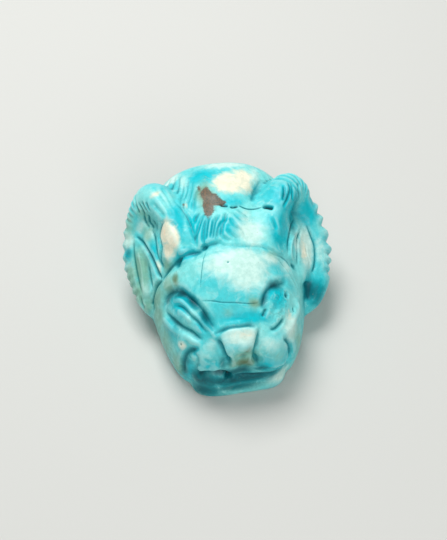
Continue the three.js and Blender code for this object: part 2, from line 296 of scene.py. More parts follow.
gutters = np.maximum.reduce(
    [
        ear_beds,
        shaft_beds,
        around([(-10.6, 3, 8.6), (-8.4, 1.5, 11), (10.8, 2.4, 8.2), (10.8, 0.2, 7)], 3),
        around([(3, -1.7, 13.2), (5.4, -2, 12), (9, 4, 11.6)], 2.6),
    ]
)
stone = grind(stone, soft)
stone = grind(stone, gutter_reach, gutters, facing_of(stone))
for where, reach in (
    (crown_top, 0.75),
    (eye_beds, 1.1),
    (ear_beds, 0.7),
    (shaft_beds, 1.3),
    (hairline_bed, 1.2),
    (nose_end, 1.0),
    (muzzle, 0.4),
    (lips, 0.9),
):
    stone = grind(stone, reach, where)
saw_flat(stone)

facing = facing_of(stone)
quads = column(stone_mesh.loops, "vertex_index", 1, int).reshape(-1, 4)
surface = BVHTree.FromPolygons(stone.tolist(), quads.tolist())
relief = np.zeros(len(stone))  # how far the carving raises each point
dirt_and_painted_shade = np.zeros(len(stone))  # how much dirt and painted shade darkens each point, from 0 to 1
stroke_steps = 8  # from each given place of a stroke to the next


def touch(place):
    """A place on the stone: of two numbers it is the one seen from above, of three the nearest one."""
    if len(place) == 2:
        return surface.ray_cast(Vector((*place, 2 * height)), Vector((0, 0, -1)))[0]
    return surface.find_nearest(Vector(place))[0]


def beside(line, reach):
    """The points within reach of a line, how far off it they are, and how far along it."""
    near = np.flatnonzero(((stone > line.min(0) - reach) & (stone < line.max(0) + reach)).all(1))
    run = np.diff(line, axis=0)
    gap = stone[near][:, None] - line[:-1]
    share = np.clip((gap * run).sum(2) / (run * run).sum(1), 0, 1)
    off = np.linalg.norm(gap - share[..., None] * run, axis=2)
    best, row = off.argmin(1), np.arange(len(near))
    along = (best + share[row, best]) / len(run)
    keep = off[row, best] < reach
    return near[keep], off[row, best][keep], along[keep]


def stroke(places, reach, ends):
    """The stone beside a line drawn on it through the given places, and how strong the stroke is there."""
    line = np.array([touch(p) for p in path_through([touch(p) for p in places], stroke_steps)])
    near, off, along = beside(line, reach)
    return near, off, np.clip(np.minimum(along, 1 - along) / ends, 0, 1) ** 0.6


def cut(places, width, depth, dirt_and_shade=0.6, bank=0.05, ends=0.2):
    """A groove along a drawn line, with a bank of that height thrown up along both of its sides."""
    near, off, strength = stroke(places, 3 * width, ends)
    groove = np.clip(1 - off / width, 0, 1) ** 1.3 * strength
    thrown_up = np.exp(-(((off - 1.4 * width) / (0.7 * width)) ** 2)) * strength
    relief[near] += bank * thrown_up - depth * groove
    # The groove is darkened, partly by dirt and partly as painted shade.
    dirt_and_painted_shade[near] = np.maximum(dirt_and_painted_shade[near], dirt_and_shade * groove**0.7)


def ridge(places, width, rise, ends=0.2):
    """A rounded ridge along a drawn line."""
    near, off, strength = stroke(places, 2 * width, ends)
    relief[near] += rise * np.exp(-((off / width) ** 2) * 2) * strength


def hollow(place, reach, depth, dirt_and_shade=0.0):
    """A round hollow, or a swelling where the depth is below nothing."""
    off = np.linalg.norm(stone - np.array(touch(place)), axis=1)
    near = np.flatnonzero(off < reach)
    bowl = (1 - (off[near] / reach) ** 2) ** 1.5
    relief[near] -= depth * bowl
    # The bowl is darkened, partly by dirt and partly as painted shade.
    dirt_and_painted_shade[near] = np.maximum(dirt_and_painted_shade[near], dirt_and_shade * bowl)


# The hair. Locks part at the middle of the crown: long strands run forward on the left side down to the
# hairline, and short ones slant to the right. They are scratched with a pointed tool.

crown_strands = [
    [(-4.4, 10.3), (-4.8, 8.1), (-5.2, 6.7), (-5.3, 5.7), (-4.9, 4.4)],
    [(-3.9, 10.1), (-4.3, 7.8), (-4.8, 6.5), (-5.0, 5.2)],
    [(-3.5, 9.1), (-3.7, 7.9), (-4.1, 6.4), (-4.5, 5.6), (-4.6, 4.6)],
    [(-3.2, 7.4), (-3.6, 6.2), (-3.8, 5.4), (-3.9, 4.5)],
    [(-6.1, 12.2), (-6.6, 10.7), (-6.6, 9.4)],
    [(-5.3, 12.1), (-5.8, 10.3), (-6.2, 8.7)],
    [(-4.9, 11.5), (-5.2, 9.5), (-5.6, 7.6)],
]
fringe = [
    [(-3.1, 3.9), (-3.6, 3.3), (-4.0, 2.5)],
    [(-2.7, 3.5), (-3.3, 2.1), (-3.8, 0.9), (-4.1, 0.0)],
    [(-2.4, 2.8), (-2.9, 1.3), (-3.1, 0.1), (-3.1, -1.0)],
    [(-2.1, 2.6), (-2.5, 1.1), (-2.8, -0.3)],
    [(-1.6, 2.3), (-1.9, 1.1), (-2.3, -0.3)],
    [(-0.9, 3.0), (-1.4, 1.8), (-1.8, 0.4), (-2.0, -0.4)],
    [(-0.6, 1.9), (-1.2, 0.8), (-1.6, -0.6)],
    [(-0.2, 2.2), (-0.7, 0.8), (-1.0, -0.3)],
    [(0.1, 3.1), (-0.2, 1.6)],
]
right_strands = [
    [(0.4, 2.1), (0.9, 1.3), (1.4, 0.4)],
    [(-0.1, 0.6), (0.5, -0.2), (1.2, -0.7)],
    [(-0.8, -0.1), (-0.3, -0.7), (0.2, -1.0)],
    [(0.9, 3.1), (1.5, 2.3), (2.2, 1.5)],
    [(1.1, 0.9), (1.8, 0.4), (2.2, -0.4)],
    [(1.5, 3.6), (2.3, 3.0), (2.9, 2.4)],
]
for strands, width, depth, dirt_and_shade in (
    (crown_strands, 0.32, 0.15, 0.45),
    (fringe, 0.32, 0.18, 0.6),
    (right_strands, 0.3, 0.14, 0.4),
):
    for strand in strands:
        cut(strand, width, depth, dirt_and_shade)
cut([(5.6, 9.8), (4.7, 8.0), (4.0, 6.5), (3.5, 4.9)], 0.9, 0.3, 0.35)

# The hairline. A cut follows the round edge of the forehead from ear to ear, wide and dark on the left
# and a thin doubled line on the right.

cut(
    [
        (-8.5, -1.6, 8.5), (-7.5, -1.3, 10.2), (-6.2, -1.3), (-4.9, -1.4), (-3.7, -1.4), (-3.1, -1.1),
        (-2.1, -1.0), (-0.9, -1.0),
    ],
    0.5, 0.28, 0.65, ends=0.1,
)
cut([(-1.2, -1.3), (1.3, -1.7), (3.3, -1.6), (4.8, -1.8), (6.3, -2.2)], 0.3, 0.12, 0.35)
cut([(4.1, -1.7), (5.2, -2.3), (6.4, -2.0, 10.9), (7.1, -2.2, 10.1), (7.6, -2.8, 9.4)], 0.32, 0.16, 0.4)
cut([(4.7, -2.5), (6.0, -2.7, 11.3), (6.9, -3.3, 10.3), (7.6, -4.0, 9.1), (8.3, -4.7, 7.6)], 0.3, 0.12, 0.35)
cut([(-8.6, -1.6, 8.3), (-9.3, -1.8, 7.3), (-9.7, -2.3, 6.5), (-10.0, -2.8, 4.9)], 0.42, 0.4, 0.8)
hollow((-3.1, -1.1), 0.55, 0.4, dirt_and_shade=0.9)

# The cuts of the horns. Fine ones cross each horn where it turns down, and wider ones turn its outer edge
# into teeth, which are pointed on the right and almost worn away on the left.

fine_cuts = {-1: (0.4, 0.42, 0.44, 0.46, 0.48), 1: (0.33, 0.348, 0.366, 0.384, 0.402, 0.42)}
teeth_cuts = {
    -1: (0.51, 0.55, 0.589, 0.63, 0.667, 0.698, 0.727, 0.763),
    1: (0.442, 0.464, 0.507, 0.552, 0.604, 0.651, 0.688, 0.719),
}
fine_depth, teeth_depth = {-1: 0.2, 1: 0.2}, {-1: 0.34, 1: 0.6}
fine_half, teeth_half = 0.0085, 0.019  # half the width of a cut, as a share of the horn's length
horn_reach = 3.4  # the stone further than this from the middle of a horn belongs to something else
inmost, outmost = 0.7, 1.35  # where cuts begin and end, as shares of the horn's half thickness
horn_dirt_and_shade = 0.4

for side in (-1, 1):
    line, _, out, wide = horn_frames(side)
    near, off, along = beside(line[:, :3], horn_reach)
    step_at = np.clip((along * (len(line) - 1)).round().astype(int), 0, len(line) - 1)
    gap = stone[near] - line[step_at, :3]
    outward = (gap * out[step_at]).sum(1) / line[step_at, 3]
    sideways = (gap * wide[step_at]).sum(1) / line[step_at, 4]
    from_middle = np.hypot(outward, sideways)
    on_horn = np.clip((from_middle - inmost) / 0.2, 0, 1) * np.clip((outmost - from_middle) / 0.15, 0, 1)
    for cuts, half, depth, low, high in (
        (fine_cuts[side], fine_half, fine_depth[side], -0.3, 0.3),
        (teeth_cuts[side], teeth_half, teeth_depth[side], -0.1, 0.7),
    ):
        for place in cuts:
            groove = np.clip(1 - np.abs(along - place) / half, 0, 1)
            strength = groove * on_horn * np.clip((outward - low) / (high - low), 0, 1)
            relief[near] -= depth * strength
            # Each cut is darkened, partly by dirt and partly as painted shade.
            dirt_and_painted_shade[near] = np.maximum(dirt_and_painted_shade[near], horn_dirt_and_shade * strength)
for places in (
    [(-10.9, 8.0, 12.3), (-10.7, 7.3, 12.0), (-10.5, 7.0, 11.6)],
    [(-10.5, 7.8, 12.8), (-10.2, 6.9, 12.4), (-9.9, 6.7, 11.6)],
    [(-10.1, 7.6, 13.2), (-9.8, 6.8, 12.9), (-9.5, 6.2, 12.6)],
    [(-9.6, 7.0, 13.6), (-9.4, 6.4, 13.3), (-9.2, 5.9, 13.1)],
    [(-10.0, 6.8, 11.7), (-9.6, 6.4, 10.4), (-9.2, 5.2, 10.3)],
    [(-9.4, 6.3, 12.1), (-8.9, 6.3, 10.5), (-8.7, 4.8, 10.7)],
    [(8.5, 7.3, 14.6), (8.6, 6.1, 14.4), (8.1, 4.7, 14.4), (7.4, 3.4, 14.4)],
    [(9.0, 7.3, 14.4), (8.9, 5.9, 14.2), (8.7, 4.9, 13.8)],
    [(9.7, 7.7, 13.6), (9.9, 6.7, 13.4), (9.9, 6.4, 12.1)],
    [(7.9, 6.6, 14.7), (7.8, 5.3, 14.7), (7.4, 4.2, 14.6)],
):
    cut(places, 0.3, 0.24, 0.7)
for places in (
    [(-8.6, 8.6, 14.4), (-8.0, 6.8, 15), (-7.1, 4.9, 15), (-6.6, 3.2, 14.8)],
    [(-7.6, 8.4, 14.6), (-6.9, 6.4, 14.9), (-6.2, 4.6, 14.8)],
    [(-8.9, 6.2, 14.2), (-8.2, 4.6, 14.4), (-7.6, 3.8, 14.2)],
):
    cut(places, 0.4, 0.12, 0.3)
cut([(9.8, -2.1, 6.1), (9.9, -2.9, 5.0), (9.8, -4.3, 4.5)], 0.9, 0.3, 0.6)

# The ears and the temples. Each ear is a leaf with a rolled front rim and a hollow down its middle. On the
# left a strap of the ear's rim and an almond-shaped temple lie between it and the horn.

for places, width, depth, dirt_and_shade in (
    (
        [
            (-11.2, 5.5, 8.9), (-10.4, 3.7, 9.3), (-9.9, 2.0, 9.3), (-9.3, 0.5, 8.9), (-8.8, -0.7, 8.4),
            (-8.6, -1.5, 8.4),
        ],
        0.38, 0.45, 0.9,
    ),
    (
        [(-9.0, 5.1, 10.4), (-8.7, 3.3, 10.4), (-8.7, 1.9, 10.0), (-8.5, 0.4, 9.4), (-8.1, -0.8, 9.3)],
        0.35, 0.2, 0.5,
    ),
    (
        [
            (-7.4, 3.3, 14.1), (-8.1, 3.4, 12.9), (-8.4, 2.9, 11.7), (-8.5, 1.2, 11.3), (-8.2, 0.5, 9.7),
            (-8.0, -0.7, 9.6),
        ],
        0.4, 0.25, 0.5,
    ),
    ([(-7.3, 3.2, 14.2), (-6.4, 1.7, 14.1), (-6.0, 0.3, 13.6), (-5.7, -0.9, 13.1)], 0.4, 0.1, 0.1),
    (
        [
            (-6.2, 6.2, 14.3), (-5.4, 4.7, 13.6), (-4.7, 3.1, 13.2), (-4.2, 0.7, 13.6),
            (-3.9, -1.0, 12.8),
        ],
        0.35, 0.2, 0.4,
    ),
    (
        [
            (-11.6, 5.2, 8.9), (-11.7, 4.0, 8.0), (-11.6, 2.3, 7.0), (-11.4, 0.5, 6.1),
            (-11.1, -1.3, 5.4),
        ],
        0.32, 0.22, 0.5,
    ),
    ([(-10.0, 1.3, 8.2), (-9.9, -0.1, 7.4), (-9.9, -1.7, 6.6), (-10.3, -2.2, 5.2)], 0.35, 0.2, 0.4),
    ([(-11.4, -1.4, 5.1), (-11.2, -2.0, 4.4), (-11.0, -2.6, 4.1)], 0.35, 0.25, 0.6),
    ([(9.8, 3.2, 9.8), (9.0, 1.4, 10.0), (8.7, -0.1, 9.5), (8.6, -1.7, 8.7)], 0.32, 0.28, 0.5),
    (
        [
            (10.6, 4.6, 8.8), (11.0, 3.5, 8.0), (11.4, 2.2, 7.3), (11.3, 0.8, 6.7), (10.9, -0.3, 6.1),
            (10.4, -1.0, 6.0),
        ],
        0.35, 0.3, 0.5,
    ),
    ([(10.3, 1.7, 8.7), (10.4, 0.3, 8.2), (10.6, -0.4, 7.2)], 0.2, 0.08, 0.3),
    ([(9.4, 4.8, 10.4), (8.4, 2.6, 11.3), (7.7, 0.2, 11.4), (7.5, -1.3, 10.7)], 0.38, 0.25, 0.45),
    ([(5.7, 2.0, 14.4), (6.0, 1.1, 14.2), (6.3, 0.4, 13.9)], 0.3, 0.15, 0.5),
    ([(5.6, 0.4, 13.9), (6.3, -0.7, 13.1), (7.1, -0.7, 11.4)], 0.8, 0.12, 0.25),
):
    cut(places, width, depth, dirt_and_shade)
ridge([(-11.1, 3.6, 8.5), (-10.8, 2.1, 7.6), (-10.7, 0.3, 6.6), (-10.7, -1.8, 5.1)], 0.6, 0.3)
ridge([(9.8, 4.0, 9.8), (8.8, 2.4, 10.3), (8.1, 0.0, 11.1), (8.0, -1.3, 10.5), (8.2, -1.7, 8.9)], 0.4, 0.25)
hollow((-7.2, 1.2, 13.2), 1.8, -0.3)

# The eyes. Each lies in a long slanting socket under the brow, with a thick upper lid over the ball. The
# right one is unfinished: its ball is a rough patch with a pit at its outer end.

brow_left = [
    (-8.7, -5.0, 8.0), (-8.1, -4.4, 8.6), (-7.1, -4.5, 9.3), (-6.1, -5.2, 9.9), (-5.4, -6.5, 10.3),
    (-4.8, -8.1, 10.9), (-4.3, -8.9, 10.7), (-3.9, -9.8, 10.4), (-3.4, -10.6, 9.9), (-3.0, -11.2, 9.5),
]
lid = [
    (-7.8, -6.0, 9.7), (-6.7, -6.3, 10.1), (-5.9, -7.1, 10.2), (-5.2, -8.2, 10.1), (-4.6, -9.5, 10.3),
    (-4.0, -10.3, 9.9), (-3.3, -11.1, 9.4), (-2.9, -12.0, 8.9),
]
lid_line = [
    (-7.8, -6.7, 9.5), (-6.9, -7.2, 10.0), (-6.3, -8.0, 10.2), (-5.7, -9.1, 10.3), (-5.1, -9.9, 10.3),
    (-4.6, -10.7, 10.0), (-3.9, -11.1, 9.3),
]
lower_line = [
    (-8.6, -5.9, 7.5), (-8.1, -7.3, 7.9), (-7.5, -8.4, 8.3), (-6.7, -9.5, 8.6), (-5.9, -10.3, 8.8),
    (-5.2, -11.2, 8.8), (-4.5, -11.8, 8.9),
]
ridge(lid, 0.6, 0.38)
ridge([(-7.4, -7.5, 9.5), (-6.5, -8.6, 10.0), (-5.6, -9.6, 10.2)], 0.9, 0.28)
ridge(
    [(-9.0, -5.8, 6.5), (-8.2, -8.0, 7.2), (-7.1, -9.8, 7.8), (-6.0, -11.0, 8.2), (-4.9, -12.1, 8.6)],
    0.8, 0.25,
)
cut(brow_left, 0.9, 0.52, 0.75)
cut(lid_line, 0.35, 0.28, 0.75)
cut(lower_line, 0.6, 0.45, 0.75)
ridge([(4.6, -7.0, 10.1), (4.2, -8.2, 10.2), (3.6, -9.6, 10.3), (3.1, -10.7, 9.8)], 0.9, 0.12)
ridge([(7.8, -6.3, 8.1), (7.8, -7.4, 7.4), (7.1, -9.0, 7.7), (6.1, -10.7, 7.7), (4.9, -12.3, 8.6)], 0.8, 0.3)
cut(
    [
        (6.8, -5.1, 10.0), (5.8, -5.8, 10.7), (4.6, -6.6, 11.3), (3.8, -7.5, 11.4), (3.3, -8.5, 11.1),
        (2.9, -9.4, 10.7),
    ],
    0.75, 0.45, 0.8,
)
cut([(3.5, -9.3, 10.6), (2.9, -10.2, 10.2)], 0.35, 0.4, 0.9)
cut([(5.7, -9.8, 9.0), (5.1, -10.4, 8.9), (4.4, -11.4, 9.3), (3.7, -11.6, 9.4)], 0.4, 0.35, 0.9)
cut([(6.9, -7.8, 8.1), (7.1, -8.4, 8.1)], 0.25, 0.3, 1.0)
hollow((6.5, -6.8, 9.6), 0.5, 0.55, dirt_and_shade=1.0)
unfinished = around([(5.4, -7.6, 10), (5, -9.4, 9.8)], 2.0)
unfinished_height, coarse_lumps, fine_lumps = 0.1, 2.2, 5
lumps = [noise.noise(Vector(p) * coarse_lumps) + noise.noise(Vector(p) * fine_lumps) for p in stone.tolist()]
relief += unfinished_height * unfinished * np.array(lumps)

# The nose, the muzzle and the mouth. A blunt nose stands over two full pads, folds run down behind them,
# and the lips are parted by a cut that is deepest left of the middle.

for places, width, depth, dirt_and_shade in (
    (
        [
            (-3.0, -11.4, 9.3), (-2.1, -11.4, 10.0), (-1.3, -11.3, 10.3), (0.1, -11.3, 10.3),
            (1.2, -11.2, 10.2), (2.0, -11.3, 9.7),
        ],
        0.42, 0.35, 0.9,
    ),
    ([(-2.8, -11.9, 9.2), (-2.3, -12.9, 8.4), (-1.8, -13.6, 7.1), (-1.5, -13.9, 5.5)], 0.6, 0.5, 0.9),
    (
        [
            (2.3, -11.3, 9.5), (2.0, -12.3, 8.8), (1.6, -13.2, 7.9), (1.6, -13.6, 6.4),
            (2.0, -13.9, 5.4),
        ],
        0.5, 0.35, 0.6,
    ),
    (
        [
            (-5.1, -12.5, 8.1), (-6.0, -11.8, 7.0), (-6.6, -11.7, 6.2), (-7.0, -11.8, 5.0),
            (-7.1, -11.9, 3.4), (-7.0, -11.9, 2.1),
        ],
        0.65, 0.5, 0.9,
    ),
    ([(-5.9, -12.0, 6.9), (-5.4, -12.9, 7.0), (-5.4, -13.2, 6.1), (-5.5, -12.4, 3.5)], 0.5, 0.2, 0.5),
    ([(-4.8, -13.2, 7.2), (-3.9, -13.6, 6.8), (-3.0, -13.3, 6.7)], 0.3, 0.08, 0.3),
    ([(2.5, -14.2, 4.8), (3.7, -14.2, 4.4), (5.1, -13.1, 3.8), (5.9, -12.2, 3.6)], 0.4, 0.3, 0.7),
    ([(5.3, -12.2, 8.2), (6.0, -11.7, 6.5), (6.3, -11.9, 5.0), (6.3, -12.0, 3.7)], 0.55, 0.45, 0.7),
    (
        [
            (-5.6, -13.1, 3.4), (-4.9, -13.3, 4.2), (-3.9, -13.8, 4.6), (-2.7, -13.7, 4.5),
            (-1.7, -13.8, 4.2),
        ],
        0.65, 0.65, 1.0,
    ),
    (
        [
            (-1.7, -13.9, 3.8), (0.4, -13.8, 3.6), (2.1, -13.8, 3.5), (3.6, -13.8, 3.3),
            (4.9, -13.3, 3.1),
        ],
        0.4, 0.25, 0.8,
    ),
):
    cut(places, width, depth, dirt_and_shade)
ridge(
    [(-4.6, -14.2, 1.9), (-1.5, -14.3, 1.9), (1.7, -14.1, 1.9), (3.8, -13.9, 1.9), (5.2, -13.1, 1.9)],
    0.35, 0.12,
)
hollow((-1.7, -13.9, 3.8), 0.65, 1.0, dirt_and_shade=1.2)
hollow((0.2, -13.9, 5.0), 1.6, 0.3, dirt_and_shade=0.7)
hollow((-1.9, -13.6, 6.8), 0.9, 0.4, dirt_and_shade=0.5)
hollow((1.9, -13.8, 6.6), 0.8, 0.3, dirt_and_shade=0.4)
hollow((-0.4, -14.0, 7.2), 1.6, 0.4)
hollow((0.9, -13.9, 7.3), 1.4, 0.3)
hollow((0.4, -13.0, 8.6), 1.2, -0.15)
hollow((-5.1, -13.3, 5.3), 0.7, -0.25)
hollow((-3.4, -13.9, 5.7), 0.9, -0.25)
hollow((-7.0, -10.8, 7.1), 1.0, -0.25)

# Cracks and pits. The stone has two open flaws across the crown, a hair crack down the forehead and one
# across the brow, and small pits.

for places, width, depth, dirt_and_shade in (
    ([(-4.4, -7.7), (-3.0, -8.1), (-1.8, -8.5), (-0.2, -8.7), (1.6, -8.9), (2.6, -8.8)], 0.15, 0.12, 0.9),
    ([(-3.0, -1.5), (-3.5, -3.1), (-3.9, -4.7), (-4.2, -6.4)], 0.13, 0.06, 0.8),
    ([(-0.5, 4.3), (0.5, 4.1)], 0.26, 0.45, 1.4),
    ([(0.7, 3.9), (1.2, 3.9), (1.8, 4.1)], 0.24, 0.35, 1.4),
    ([(1.8, 4.2), (3.0, 3.8), (4.8, 3.9)], 0.18, 0.12, 1.3),
    ([(4.8, 4.0), (5.5, 3.6), (6.1, 3.2)], 0.36, 0.7, 1.4),
):
    cut(places, width, depth, dirt_and_shade, bank=0)
hollow((-0.5, -3.9), 0.22, 0.12, dirt_and_shade=0.9)
hollow((-7.0, -10.8, 7.1), 0.25, 0.15, dirt_and_shade=0.7)

# Polishing. The carving is pressed into the stone, its burrs are rubbed off, and the result is kept to as
# many faces as it needs. What stands proud is lightened, partly as wear and partly as a painted highlight,
# and what lies low is darkened, partly by dirt and partly as painted shade.

burr = 0.07  # how far the last rub reaches
worn_reach = 0.6  # how far the cloth bridges from one high place to the next
most_faces = 190000
full_dirt_and_shade, full_wear_and_highlight = 0.22, 0.12  # a place this low gets all its dirt and painted shade, one this proud all its wear and painted highlight
most_dirt_and_shade = 0.8  # the most dirt and painted shade in low places that no cut runs through

carved = stone + facing * relief[:, None]
carved = grind(carved, burr)
saw_flat(carved)
proud = ((carved - grind(carved, worn_reach)) * facing_of(carved)).sum(1)
stone_mesh.vertices.foreach_set("co", carved.ravel())
stone_mesh.update()

whole = set_out("whole", stone_mesh)
faces = 2 * len(stone_mesh.polygons)
if faces > most_faces:
    thin = whole.modifiers.new("Thin", "DECIMATE")
    thin.ratio = most_faces / faces
polished = worked_mesh(whole)

points = column(polished.vertices, "co", 3)
finder = KDTree(len(carved))
for i, p in enumerate(carved.tolist()):
    finder.insert(p, i)
finder.balance()
source = np.array([finder.find(p)[1] for p in points.tolist()])

# The colour of the stone. Sky blue turquoise, deepest at the horns, the brow and the mouth, where the dark
# blue-green is partly painted shade, pale on the forehead and olive at its left side. Cream and brown patches
# show where the host rock comes through, and rusty ones beside the flaw on the crown.


def tint_as(name, value):
    """A property of the stone's surface, for its material to read."""
    polished.attributes.new(name, "FLOAT", "POINT").data.foreach_set("value", value)


def tint(name, blots):
    """A property of the stone's surface: round patches, each with its place, its reach and its strength."""
    value = np.zeros(len(points))
    for place, reach, strength in blots:
        off = np.linalg.norm((points - np.array(place)) / np.array(reach), axis=1)
        value = np.maximum(value, strength * np.exp(-(off**2)))
    tint_as(name, value)


# Low places are darkened by dirt and by painted shade, proud ones lightened by wear and by a painted
# highlight.
low_dirt_and_painted_shade = np.clip(-proud / full_dirt_and_shade, 0, most_dirt_and_shade)
tint_as("dirt_and_painted_shade", np.clip(np.maximum(dirt_and_painted_shade, low_dirt_and_painted_shade), 0, 1)[source])
tint_as("worn_and_highlit", np.clip(proud / full_wear_and_highlight, 0, 1)[source])
tint(
    "cream",
    [
        ((1.0, 8.0, 14.7), (2.4, 2.0, 3), 1),
        ((3.0, 8.6, 14.2), (1.5, 2.4, 3), 1),
        ((-7.6, 2.2, 13.0), (1.3, 1.6, 1.8), 1.1),
        ((-6.9, 1.0, 13.4), (1.1, 1.7, 1.6), 1.1),
        ((-7.5, 0.2, 12.0), (1.1, 1.4, 1.4), 0.9),
        ((-8.4, 7.2, 14.6), (1.0, 0.9, 1), 0.6),
        ((-8.8, 0.1, 9.0), (0.6, 1.2, 1), 0.7),
        ((-7.0, -10.8, 7.1), (0.8, 0.9, 0.9), 0.7),
        ((9.8, 0.6, 8.6), (0.9, 2.6, 1.8), 0.6),
        ((0.6, -12.2, 9.7), (2.0, 1.0, 1.2), 0.5),
        ((6.3, -9.0, 8.8), (1.3, 1.2, 1.5), 0.45),
        ((0, -14, 7.4), (0.9, 1, 0.7), 0.5),
        ((-4.7, 5.4, 14), (0.35, 1.0, 1), 0.5),
    ],
)
tint(
    "pale",
    [
        ((0.8, -3.9, 13.5), (4.6, 2.0, 2.4), 1),
        ((1.6, -5.4, 13.0), (3.2, 2.4, 2.4), 0.85),
        ((-3.2, -4.4, 12.6), (2.4, 2.6, 2.4), 0.15),
        ((4.6, -3.0, 12.4), (2.0, 1.0, 2), 0.7),
        ((2.9, 0.3, 13.8), (1.9, 2.0, 2), 0.95),
        ((2.6, 2.9, 14.2), (1.0, 1.0, 1), 0.5),
        ((4.6, 9.6, 13.4), (1.0, 2.4, 1.6), 0.6),
        ((-4.6, 9.6, 13.6), (0.9, 2.4, 1.6), 0.5),
        ((-5.8, 11.5, 12), (1.5, 1.4, 1.6), 0.8),
        ((-4.4, 13.6, 11.0), (4.2, 1.5, 2.0), 0.85),
        ((0.6, 13.4, 12.6), (4.6, 1.0, 1.2), 0.85),
        ((5.0, 13.4, 11.0), (3.4, 1.4, 2.0), 0.85),
        ((-10.3, 6.1, 9.6), (1.0, 1.0, 1.6), 0.8),
        ((-9.6, 4.4, 10.2), (0.8, 0.9, 1), 0.8),
        ((-12.4, 5.4, 8.4), (1.0, 1.2, 1.4), 0.8),
        ((-10.8, -0.6, 6.2), (0.8, 2.2, 1.4), 0.6),
        ((12.2, 1.6, 7.2), (1.2, 2.6, 2), 0.5),
        ((4.9, -13.3, 1.7), (2.2, 1.4, 1.2), 0.8),
        ((10.2, 1.2, 8.4), (1.2, 3.4, 2.0), 1),
        ((0.3, -12.4, 9.5), (2.6, 1.2, 1.4), 0.9),
        ((-12.3, 2.2, 6.0), (1.0, 1.6, 1.6), 0.6),
        ((6.8, -3.3, 10.5), (1.6, 1.2, 1.8), 0.5),
        ((1.0, 11.9, 13.8), (3.0, 1.2, 1.4), 0.9),
        ((6.5, -10.4, 7.6), (1.4, 1.8, 2), 0.8),
        ((3.6, -12.9, 8.2), (1.8, 1.2, 1.6), 0.45),
        ((-3.7, -12.4, 8.3), (1.0, 0.9, 1.2), 0.5),
        ((9.0, 0.5, 10.2), (0.7, 2.4, 1.6), 0.6),
    ],
)
tint(
    "blue",
    [
        ((-2.4, 9.7, 14.6), (2.0, 1.8, 3), 0.9),
        ((-3.6, 5.4, 14.2), (1.2, 2.6, 3), 0.6),
        ((-6.0, 2.8, 14.4), (1.1, 3.0, 2), 0.95),
        ((-5.4, -1.3, 12.4), (2.2, 0.9, 1.6), 1),
        ((-0.2, 1.2, 14.6), (2.0, 1.8, 2), 0.9),
        ((-3.9, 2.5, 13.5), (1.4, 2.0, 2), 0.95),
        ((-8.3, -8.4, 6.8), (1.6, 2.0, 1.8), 0.9),
        ((-5.6, -12.3, 7.4), (0.8, 1.0, 1.2), 0.7),
        ((-2.8, 1.4, 14.2), (1.6, 2.6, 2), 0.9),
        ((1.0, 4.8, 14.4), (2.2, 0.8, 2), 0.7),
        ((8.2, 4.8, 14.2), (2.6, 2.8, 3), 1),
        ((6.8, 0.6, 13.0), (1.7, 3.2, 2.4), 1),
        ((8.8, 4.2, 11.8), (1.2, 2.4, 2), 0.95),
        ((11.0, 5.6, 10.2), (1.6, 2.2, 2.2), 0.95),
        ((-9.3, 2.2, 9.8), (0.8, 1.4, 1.6), 0.8),
        ((-12.5, 3.9, 7.4), (1.0, 1.0, 1), 0.9),
        ((10.9, -3.3, 5.0), (2.0, 2.0, 2.4), 1),
        ((1.2, -10.3, 10.4), (3.6, 0.8, 1.4), 0.95),
        ((4.8, -7.2, 10.6), (2.4, 1.8, 2), 0.85),
        ((-6.4, -6.8, 10.0), (2.4, 2.6, 2.4), 0.9),
        ((-4.4, -9.9, 9.8), (1.4, 2.0, 1.6), 0.6),
        ((-6.6, -12.2, 3.6), (1.2, 1.4, 2.6), 0.9),
        ((-3.6, -13.8, 6.0), (1.4, 1.2, 1.0), 0.6),
        ((3.0, -14.1, 5.6), (1.8, 1.4, 1.4), 1),
        ((0, -14.2, 3.0), (6.5, 1.6, 1.4), 0.9),
        ((-8.0, -9.0, 6.7), (0.9, 1.2, 1.2), 0.7),
        ((4.4, -6.6, 11.5), (1.6, 1.2, 1), 0.6),
    ],
)
tint(
    "olive",
    [
        ((-9.6, -5.0, 5.4), (1.8, 3.0, 3.4), 0.75),
        ((-9.0, -8.6, 4.4), (1.8, 3.0, 3.4), 0.7),
        ((-7.8, -11.2, 3.2), (1.4, 1.6, 2.6), 0.8),
        ((-7.9, -3.4, 9.6), (1.4, 1.4, 1.6), 0.9),
        ((-9.3, -3.5, 6.8), (1.5, 2.0, 2.8), 0.9),
        ((-9.4, -5.4, 2.4), (1.8, 4.6, 2.8), 0.7),
        ((-7.0, -3.6, 10.6), (0.7, 1.0, 0.8), 1.1),
        ((-10.9, 1.6, 7.2), (1.3, 3.4, 2.4), 1.1),
        ((-11.8, -0.6, 5.0), (1.5, 3.0, 2.4), 0.9),
        ((-12.2, 7.0, 9.6), (1.4, 2.0, 2.4), 0.75),
        ((-12.4, 1.4, 5.6), (1.2, 2.0, 2.0), 1),
        ((-9.8, 4.6, 10.4), (1.2, 2.0, 1.6), 0.7),
        ((-10.6, -2.6, 4.6), (1.4, 1.4, 2.0), 0.8),
        ((-10.3, 6.8, 11.8), (1.2, 1.4, 1.8), 0.6),
        ((-7.9, -0.8, 10.4), (0.8, 1.0, 1.4), 0.8),
        ((7.6, -10.4, 4.4), (1.2, 1.6, 3), 0.7),
        ((2.1, -8.8, 11.3), (0.9, 0.8, 1), 0.95),
        ((0.4, -14.0, 7.2), (2.2, 1.2, 1.4), 0.9),
        ((0.2, -14.2, 6.2), (2.0, 1.2, 1.2), 1.1),
        ((5.0, -2.2, 12.2), (1.2, 0.9, 1), 0.5),
        ((-2.2, 6.2, 14.8), (1.3, 2.4, 2), 1),
        ((-1.2, -9.6, 10.9), (0.7, 0.7, 1), 0.5),
        ((4.2, -13.6, 6.6), (1.2, 0.9, 1.0), 0.5),
    ],
)
